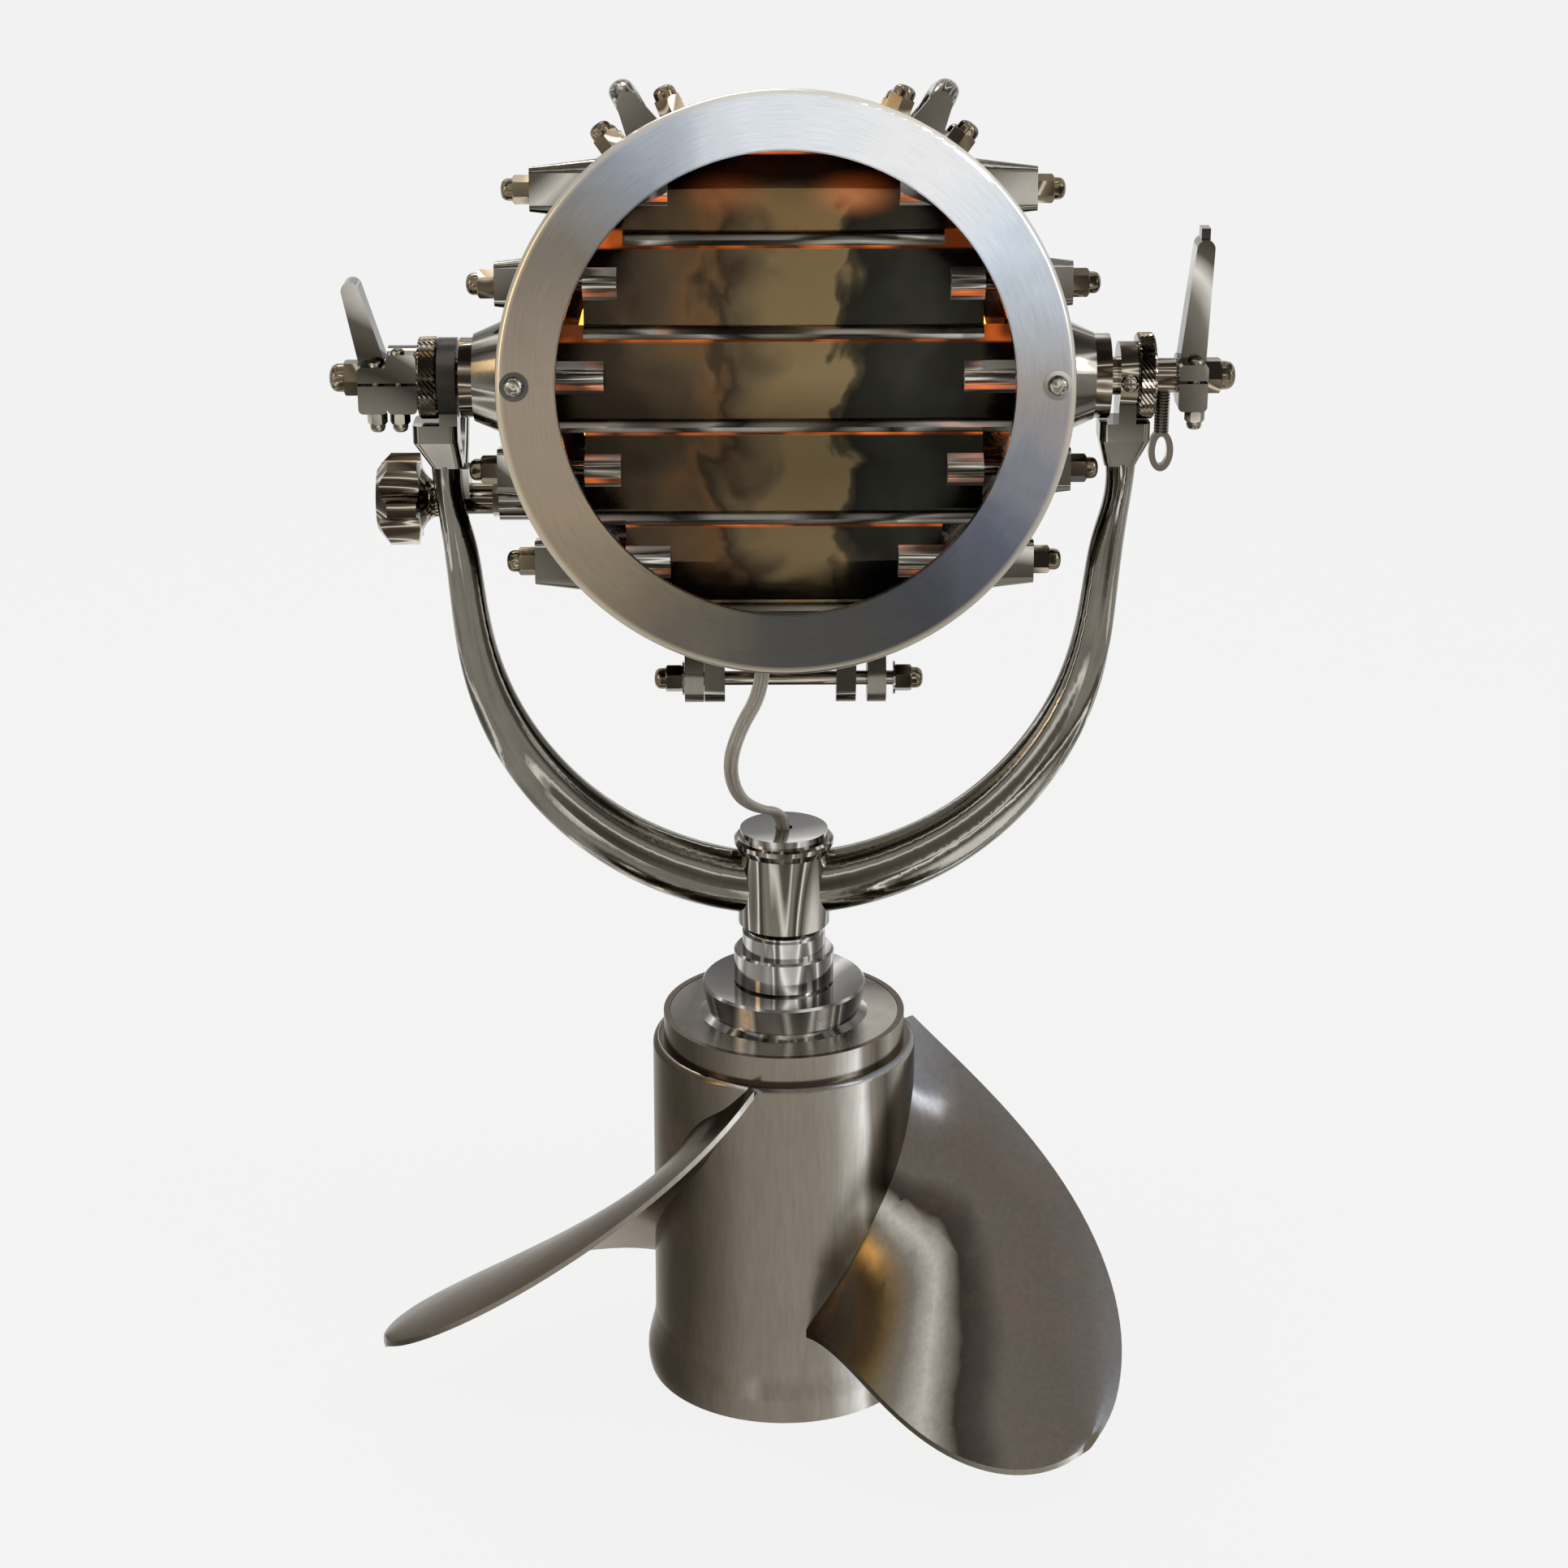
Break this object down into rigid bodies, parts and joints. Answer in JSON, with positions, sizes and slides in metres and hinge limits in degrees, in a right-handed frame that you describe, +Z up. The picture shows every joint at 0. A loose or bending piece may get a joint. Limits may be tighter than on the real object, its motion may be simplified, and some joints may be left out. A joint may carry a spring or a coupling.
{
  "type": "signal lamp",
  "caption": "Polished signal lamp with levered shutters, tilting in a forked yoke on a pedestal made from a stainless outboard propeller.",
  "frame": {"origin": "centre of the foot that the propeller stands on, on the pan axis", "axes": "+Z up along the pan axis, -Y the way the lamp faces, +X to the right of a viewer who looks at the lamp's face"},
  "size_m": [0.3636, 0.3144, 0.5678],
  "materials": {
    "polished_stainless": "mirror-polished cast stainless steel",
    "satin_cover": "satin stainless steel",
    "turned_steel": "turned and polished",
    "steel_fixings": "plain steel",
    "polished_casting": "polished casting",
    "brushed_bezel": "brushed, with fine scratches",
    "dark_steel": "dark satin",
    "nickel_plate": "nickel-plated, polished",
    "dome_nut_plate": "nickel-plated",
    "shutter_metal": "dark polished sheet",
    "clear_glass": "clear",
    "bulb_glass": "pearl",
    "mirror": "silvered",
    "brass": "plain",
    "ceramic": "glazed",
    "rubber": "matte",
    "felt": "felt",
    "clear_lead": "clear sheath over tinned wires"
  },
  "bodies": {
    "base": {"propeller": "polished_stainless", "hub_cover_plate": "satin_cover", "stepped_flange": "turned_steel", "pedestal_collar": "turned_steel", "swivel_ring": "turned_steel", "tie_tube": "steel_fixings", "tie_washer": "steel_fixings", "tie_nut": "steel_fixings", "yoke_nut": "steel_fixings", "base_felt": "felt", "cord_grommet": "rubber"},
    "yoke": {"yoke": "polished_casting", "yoke_cap": "turned_steel", "left_bearing_ring": "dark_steel", "right_bearing_ring": "nickel_plate", "bearing_screw": "steel_fixings", "tilt_quadrant": "polished_casting", "quadrant_screws": "steel_fixings", "lamp_lead": "clear_lead"},
    "head": {"drum": "polished_casting", "bezel": "brushed_bezel", "bezel_screws": "steel_fixings", "bezel_washers": "turned_steel", "front_glass": "clear_glass", "glass_gasket": "rubber", "left_trunnion": "nickel_plate", "right_trunnion": "nickel_plate", "handles": "polished_casting", "handle_nuts": "dome_nut_plate", "pivot_pins": "steel_fixings", "pivot_nuts": "dome_nut_plate", "hinge_rod": "steel_fixings", "hinge_nuts": "dome_nut_plate", "hinge_washers": "turned_steel", "cord_gland": "nickel_plate", "clamp_stud": "nickel_plate", "cover_catch": "steel_fixings"},
    "cover": {"rear_cover": "polished_casting", "reflector": "mirror", "lamp_holder": "ceramic", "bulb_glass": "bulb_glass", "bulb_cap": "brass", "vent_cap": "polished_casting"},
    "shutter_1_body": {"shutter_1": "shutter_metal"},
    "shutter_2_body": {"shutter_2": "shutter_metal"},
    "shutter_3_body": {"shutter_3": "shutter_metal", "left_shaft": "steel_fixings", "right_shaft": "steel_fixings", "left_lever": "polished_casting", "right_lever": "polished_casting", "lever_nuts": "dome_nut_plate", "pinch_bolts": "steel_fixings"},
    "shutter_4_body": {"shutter_4": "shutter_metal"},
    "shutter_5_body": {"shutter_5": "shutter_metal"},
    "link": {"link_bar": "steel_fixings"},
    "knob": {"tilt_knob": "nickel_plate"},
    "lock": {"lock_screw": "nickel_plate"},
    "left_ring": {"left_knurled_ring": "nickel_plate"},
    "right_ring": {"right_knurled_ring": "nickel_plate"}
  },
  "joints": [
    {"name": "pan", "type": "hinge", "parent": "base", "child": "yoke", "pos_m": [0, 0, 0.23], "axis": [0, 0, 1], "range_deg": [-170, 170]},
    {"name": "tilt", "type": "hinge", "parent": "yoke", "child": "head", "pos_m": [0, 0, 0.447], "axis": [1, 0, 0], "range_deg": [-6, 50], "deforming": ["lamp_lead"]},
    {"name": "cover_hinge", "type": "hinge", "parent": "head", "child": "cover", "pos_m": [0, 0.00946, 0.31637], "axis": [-1, 0, 0], "range_deg": [0, 75]},
    {"name": "shutter_3_turn", "type": "hinge", "parent": "head", "child": "shutter_3_body", "pos_m": [0, 0, 0.447], "axis": [-1, 0, 0], "range_deg": [0, 70]},
    {"name": "shutter_1_turn", "type": "hinge", "parent": "head", "child": "shutter_1_body", "pos_m": [0, 0.01285, 0.51988], "axis": [-1, 0, 0], "range_deg": [0, 70]},
    {"name": "shutter_2_turn", "type": "hinge", "parent": "head", "child": "shutter_2_body", "pos_m": [0, 0.00643, 0.48344], "axis": [-1, 0, 0], "range_deg": [0, 70]},
    {"name": "shutter_4_turn", "type": "hinge", "parent": "head", "child": "shutter_4_body", "pos_m": [0, -0.00643, 0.41056], "axis": [-1, 0, 0], "range_deg": [0, 70]},
    {"name": "shutter_5_turn", "type": "hinge", "parent": "head", "child": "shutter_5_body", "pos_m": [0, -0.01285, 0.37412], "axis": [-1, 0, 0], "range_deg": [0, 70]},
    {"name": "link_turn", "type": "hinge", "parent": "shutter_3_body", "child": "link", "pos_m": [0, 0.01529, 0.46461], "axis": [-1, 0, 0], "range_deg": [-70, 0]},
    {"name": "knob_turn", "type": "hinge", "parent": "head", "child": "knob", "pos_m": [-0.158, 0.022, 0.3909], "axis": [-1, 0, 0], "continuous": true},
    {"name": "lock_turn", "type": "hinge", "parent": "head", "child": "lock", "pos_m": [0.1526, 0, 0.43], "axis": [0, 0, 1], "continuous": true},
    {"name": "left_ring_turn", "type": "hinge", "parent": "head", "child": "left_ring", "pos_m": [-0.142, 0, 0.447], "axis": [-1, 0, 0], "continuous": true},
    {"name": "right_ring_turn", "type": "hinge", "parent": "head", "child": "right_ring", "pos_m": [0.145, 0, 0.447], "axis": [1, 0, 0], "continuous": true}
  ],
  "couplings": [
    {"joint": "shutter_1_turn", "follows": "shutter_3_turn", "ratio": 1},
    {"joint": "shutter_2_turn", "follows": "shutter_3_turn", "ratio": 1},
    {"joint": "shutter_4_turn", "follows": "shutter_3_turn", "ratio": 1},
    {"joint": "shutter_5_turn", "follows": "shutter_3_turn", "ratio": 1},
    {"joint": "link_turn", "follows": "shutter_3_turn", "ratio": -1}
  ]
}
